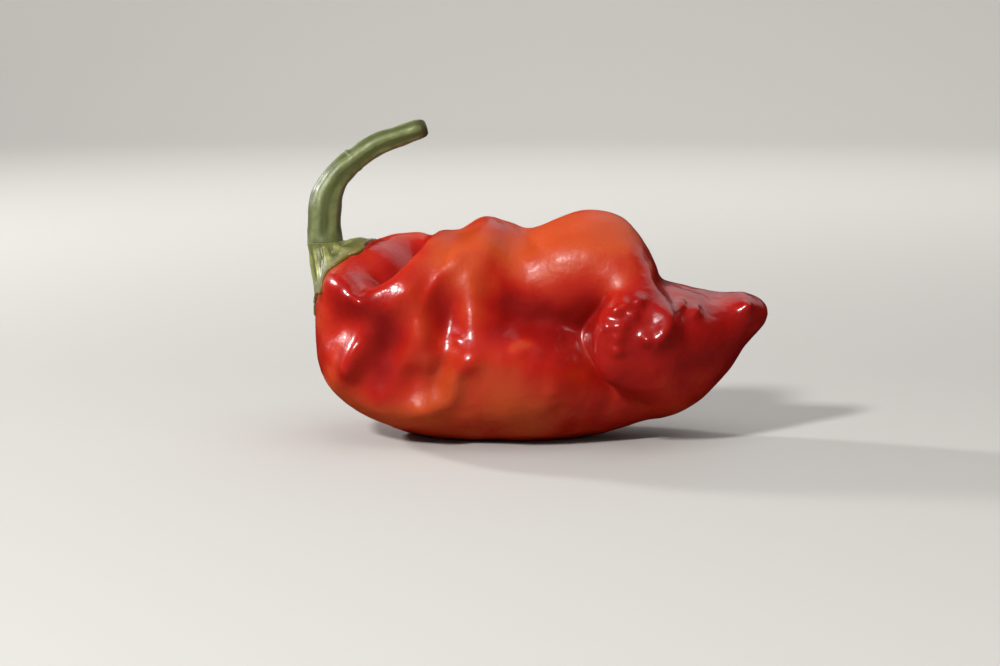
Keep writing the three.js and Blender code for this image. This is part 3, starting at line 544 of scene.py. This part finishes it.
def makeCalyx():
    # inside, the pod's own skin out to the margin; outside, at each turn, a Bezier curve from
    # the rim over the shoulder to the neck, raised by ribs
    sides = calyx["sides"]
    v = -np.linspace(0, 2*math.pi, sides, endpoint=False)[None, :]
    margin = calyxMargin(v)
    s = np.linspace(0, 1, calyx["innerRings"] + 1)[1:, None]
    inner = podSkin(s*margin, v + 0*s, -calyx["sink"], fine=False)[0]
    rim = podSkin(margin*calyx["rimAt"], v, calyx["rimThickness"], fine=False)[0]
    crest = np.maximum(0, np.sin(v))**2
    lift = calyx["shoulder"] + calyx["crestShoulder"]*crest
    shoulder = podSkin(margin*calyx["shoulderAt"], v, lift, fine=False)[0]
    up = unit(calyx["neckUp"])
    centre = np.array(calyx["neck"])
    neck = ringPoint(centre, up + 0*rim, np.full(v.shape, calyx["neckRadius"]), v)
    # the neck flares early on the crest's side, where the calyx turns level
    below = neck - up*calyx["neckRise"]*(1 - calyx["crestLevel"]*crest)[..., None]
    below = below + unit(neck - centre)*(calyx["crestFlare"]*crest)[..., None]
    s = np.linspace(0, 1, calyx["outerRings"] + 1)[:, None]
    k = s[..., None]
    face = rim*(1 - k)**3 + shoulder*3*k*(1 - k)**2 + below*3*k**2*(1 - k) + neck*k**3
    pole = podSkin(np.zeros(1), np.zeros(1), fine=False)[0][0]
    outward = unit(face - pole)
    rib = 0.5 + 0.5*np.cos(calyx["ribs"]*v)
    # the ribs rise from the rim and fade out below the neck, where the calyx is flush with the stalk
    risen = smoothStep(s/calyx["ribStart"])*smoothStep((1 - s)/calyx["ribEnd"])
    height = calyx["ribHeight"]*(2*rib**calyx["ribPower"] - 1)*risen
    height = height + calyx["fineHeight"]*np.cos(calyx["fineRibs"]*v + calyx["fineTwist"]*s)*risen
    rough = waves(face, calyx["roughSize"], calyx["roughSeed"])*smoothStep((1 - s)*calyx["roughEnd"])
    height = height + calyx["roughHeight"]*rough
    face = face + outward*height[..., None]
    under = 0*inner[..., 0]
    # paler towards the neck: a painted highlight where the neck catches the light
    shade = calyx["rimShade"] + calyx["neckHighlight"]*s**2 + calyx["ribShade"]*rib*risen
    attributes = {
        "rib": (calyx["underShade"], np.concatenate([under + calyx["underShade"], shade]),
                calyx["lidShade"]),
        "along": (0.0, np.concatenate([under, s + 0*v]), 1.0),
    }
    start = podSkin(np.zeros(1), np.zeros(1), -calyx["sink"], fine=False)[0][0]
    end = centre + up*calyx["lid"]
    piece = shellMesh("calyx_cap", start, np.concatenate([inner, face]), end, attributes)
    piece.data.materials.append(greenMaterial("calyxTissue", calyx))
    return piece


stalk = {
    "rings": 220, "sides": 90, "endRings": 14,
    "path": [
        (-25.3, 1.8, 23.2), (-25.4, 1.9, 25.0), (-25.3, 2.0, 27.4), (-24.8, 2.2, 29.3),
        (-23.5, 2.5, 31.4), (-21.8, 2.8, 32.9), (-19.0, 3.1, 34.8), (-16.7, 3.4, 35.7),
        (-14.6, 3.7, 36.4), (-13.9, 3.8, 36.6),
    ],
    "radii": [2.16, 2.0, 1.98, 1.77, 1.58, 1.45, 1.32, 1.26, 1.2, 1.12],
    # angles and ridges: how many, height as a share of the radius, twist a path point
    "angles": 5, "angleHeight": 0.035, "angleTwist": 0.25,
    "fineRidges": 17, "fineHeight": 0.006, "fineTwist": -0.3,
    "grownBy": 0.9,            # they are full by this path point
    # the swelling of an old node, higher on one side
    "nodeAt": 5.0, "nodeWidth": 0.09, "nodeSwell": 0.12, "nodeMean": 0.6, "nodeLean": 0.4,
    "nodeTurn": 2,
    "roughSize": 2.5, "roughHeight": 0.04, "roughSeed": 31,
    # the cut end: a dome that closes in, with a sunken pith
    "endDome": 1.0, "domePower": 0.75, "endPower": 1.9, "endLeast": 0.0004,
    "pith": 0.15, "pithFrom": 0.7, "pithOver": 0.3,
    # how pale the tissue is: between the angles and on them, and on the cut end
    "meanShade": 0.55, "angleShade": 0.45, "endShade": 0.2, "startShade": 0.5,
    "colours": ("#484F27", "#767D4D", "#373419"), "edgeFade": (0.9, 1.15, 0.9),
}


def makeStalk():
    # rings square to the middle line, with five blunt angles, fine lengthwise ridges, the swelling
    # of an old node and a domed, shrunken cut end
    step = 0.02                # along the path, for its direction
    last = len(stalk["path"]) - 1
    t = np.linspace(0, last, stalk["rings"] + 1)[:, None]
    v = -np.linspace(0, 2*math.pi, stalk["sides"], endpoint=False)[None, :]
    centre = splineRows(stalk["path"], t)
    up = unit(splineRows(stalk["path"], t + step) - splineRows(stalk["path"], t - step))
    radius = splineRows(np.array(stalk["radii"])[:, None], t)[..., 0]
    # the angles and ridges grow in above the neck, where the stalk is flush with the calyx
    grown = smoothStep(t/stalk["grownBy"])
    angle = np.cos(stalk["angles"]*v + stalk["angleTwist"]*t)*grown
    ridge = np.cos(stalk["fineRidges"]*v + stalk["fineTwist"]*t)*grown
    node = np.exp(-((t - stalk["nodeAt"])/stalk["nodeWidth"])**2)
    node = node*(stalk["nodeMean"] + stalk["nodeLean"]*np.sin(v + stalk["nodeTurn"]))
    shape = 1 + stalk["angleHeight"]*angle + stalk["fineHeight"]*ridge + stalk["nodeSwell"]*node
    body = ringPoint(centre, up, radius*shape, v)
    rough = stalk["roughHeight"]*waves(body, stalk["roughSize"], stalk["roughSeed"])*grown
    body = body + unit(body - centre)*rough[..., None]
    # the cut end: rings that close over a low dome with a sunken pith
    k = np.linspace(0, 1, stalk["endRings"] + 1)[1:, None]
    endUp = up[-1:]
    sunken = stalk["pith"]*smoothStep((k - stalk["pithFrom"])/stalk["pithOver"])
    dome = stalk["endDome"]*k**stalk["domePower"] - sunken
    size = stalk["radii"][-1]*np.sqrt(np.clip(1 - k**stalk["endPower"], stalk["endLeast"], 1))
    cap = ringPoint(centre[-1:] + endUp*dome[..., None], endUp + 0*k[..., None], size*shape[-1:], v)
    shade = stalk["meanShade"] + stalk["angleShade"]*angle
    attributes = {
        "rib": (stalk["startShade"], np.concatenate([shade, stalk["endShade"]*np.cos(v) + 0*k]),
                stalk["endShade"]),
        "along": (0.0, np.concatenate([t/last + 0*v, 1 + k + 0*v]), 2.0),
    }
    end = centre[-1, 0] + endUp[0, 0]*dome[-1]
    piece = shellMesh("stalk_stem", centre[0, 0], np.concatenate([body, cap]), end, attributes)
    piece.data.materials.append(greenMaterial("stalkTissue", stalk))
    return piece


def greenMaterial(name, look):
    # green plant tissue, grown: satin skin with paler ribs, a fine grain and a duller,
    # browner edge or cut end, so it looks softer than the pod
    material, tree, output = newMaterial(name)
    body, pale, edge = map(linear, look["colours"])
    fadeFrom, fadeTo, most = look["edgeFade"]
    place3d = addNode(tree, "ShaderNodeTexCoord").outputs["Object"]
    rib = addNode(tree, "ShaderNodeAttribute", attribute_name="rib").outputs["Fac"]
    along = addNode(tree, "ShaderNodeAttribute", attribute_name="along").outputs["Fac"]
    # mottled by spots of 1.2 mm
    lift = addNode(tree, "ShaderNodeMath", {0: rib, 1: noise(tree, place3d, 1.2, 4.0)},
                   operation="MULTIPLY").outputs["Value"]
    tissue = mixColour(tree, mapRange(tree, lift, (0.1, 0.6), (0.0, 1.0)), body, pale)
    fade = mapRange(tree, along, (fadeFrom, fadeTo), (0.0, most))
    # a grain of 0.25 mm
    bump = addNode(tree, "ShaderNodeBump", {
        "Height": noise(tree, place3d, 0.25, 2.0), "Strength": 0.4, "Distance": 0.05*mm})
    skin = addNode(tree, "ShaderNodeBsdfPrincipled", {
        "Base Color": mixColour(tree, fade, tissue, edge), "Roughness": 0.42, "IOR": 1.45,
        "Sheen Weight": 0.2, "Sheen Roughness": 0.4,
        "Subsurface Weight": 0.15, "Subsurface Radius": (0.5, 0.7, 0.2), "Subsurface Scale": 0.6*mm,
        "Normal": bump.outputs["Normal"]})
    tree.links.new(skin.outputs["BSDF"], output.inputs["Surface"])
    return material


def fit(piece, node):
    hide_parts(node)
    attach(piece, "root")
    print("made", piece.name, len(piece.data.polygons), "faces")


fit(makePod(), "pod")
fit(makeCalyx(), "calyx")
fit(makeStalk(), "stalk")

studio = {
    # in metres: the backdrop is a round bowl with a flat floor, a quarter round and an upright wall
    "floorRings": [0.25, 0.5], "floorRadius": 0.6, "bendRadius": 0.4, "bendSteps": 16,
    "wallHeight": 0.02, "backdropSides": 128, "floorColour": "#B4B1AC",
    # where each light hangs, its size and its power, all but the last turned to the pepper: a small
    # bright key in front on the left, one on the left behind, a wide soft one high up, one behind
    # on the right for a soft sheen along the tops, and one turned to the backdrop
    "lights": {
        "keyLight": ((-0.24, -0.34, 0.30), 0.06, 2.8),
        "sideLight": ((-0.38, 0.20, 0.20), 0.05, 1.5),
        "fillLight": ((0.20, -0.25, 0.80), 1.0, 4.2),
        "topLight": ((0.20, 0.36, 0.42), 0.6, 0.6),
        "backdropLight": ((0.0, 0.30, 0.50), 0.3, 3.6),
    },
    "backdropTo": (0.0, 1.0, 0.15),
    "world": "#E4E6EA", "worldStrength": 0.16,
}


def makeBackdrop():
    # a profile turned about the upright axis: out along the floor, round the bend and up the wall
    bend = np.linspace(0, math.pi/2, studio["bendSteps"] + 1)
    out = studio["floorRadius"] + studio["bendRadius"]*np.sin(bend)
    up = studio["bendRadius"]*(1 - np.cos(bend))
    flat = np.array(studio["floorRings"])
    radius = np.concatenate([flat, out, [out[-1]]])
    height = np.concatenate([0*flat, up, [up[-1] + studio["wallHeight"]]])
    turn = np.linspace(0, 2*math.pi, studio["backdropSides"], endpoint=False)
    rings = np.stack([
        radius[:, None]*np.cos(turn), radius[:, None]*np.sin(turn), height[:, None] + 0*turn], -1)
    sides = len(turn)
    low = 1 + np.arange(rings.shape[0]*sides).reshape(-1, sides)
    nxt = np.roll(low, -1, axis=1)
    quads = np.stack([low[:-1], low[1:], nxt[1:], nxt[:-1]], -1).reshape(-1, 4)
    fan = np.stack([np.zeros(sides, int), low[0], nxt[0]], 1)
    mesh = bpy.data.meshes.new("studio_backdrop")
    mesh.from_pydata([(0, 0, 0)] + rings.reshape(-1, 3).tolist(), [], quads.tolist() + fan.tolist())
    mesh.shade_smooth()
    backdrop = bpy.data.objects.new("studio_backdrop", mesh)
    bpy.context.scene.collection.objects.link(backdrop)
    material, tree, output = newMaterial("palePaper")
    paper = addNode(tree, "ShaderNodeBsdfPrincipled", {
        "Base Color": linear(studio["floorColour"]), "Roughness": 0.8})
    tree.links.new(paper.outputs["BSDF"], output.inputs["Surface"])
    mesh.materials.append(material)
    # the skin doesn't mirror the paper, as if seen through a polarising filter
    backdrop.visible_glossy = False


def makeLight(name, target):
    spot, size, power = studio["lights"][name]
    data = bpy.data.lights.new(name, "AREA")
    data.size = size
    data.energy = power
    light = bpy.data.objects.new(name, data)
    light.location = spot
    light.rotation_euler = (target - Vector(spot)).to_track_quat("-Z", "Y").to_euler()
    bpy.context.scene.collection.objects.link(light)
    return light


def makeStudio():
    makeBackdrop()
    aim = Vector(place(np.array([eye["x"], 0.0, eye["z"]])))
    makeLight("keyLight", aim)
    makeLight("sideLight", aim)
    # the wide light isn't mirrored either, so that the satin lobes keep their colour
    makeLight("fillLight", aim).visible_glossy = False
    makeLight("topLight", aim)
    makeLight("backdropLight", Vector(studio["backdropTo"]))
    world = bpy.data.worlds.new("studioWorld")
    world.use_nodes = True
    background = world.node_tree.nodes["Background"]
    background.inputs["Color"].default_value = linear(studio["world"])
    background.inputs["Strength"].default_value = studio["worldStrength"]
    bpy.context.scene.world = world
    # nor is the pale room around mirrored: its reflection would grey the dark crimson
    world.cycles_visibility.glossy = False
    rise = math.radians(eye["riseDeg"])
    camera = bpy.data.objects.new("camera", bpy.data.cameras.new("camera"))
    camera.location = aim + Vector((0, -math.cos(rise), math.sin(rise)))*eye["distance"]*mm
    camera.rotation_euler = (math.pi/2 - rise, 0, 0)
    camera.data.lens = camera.data.sensor_width*eye["distance"]/eye["pictureWidth"]
    camera.data.clip_start = mm
    bpy.context.scene.collection.objects.link(camera)
    bpy.context.scene.camera = camera
    bpy.context.scene.view_settings.view_transform = "Standard"
    print("made the studio")


makeStudio()
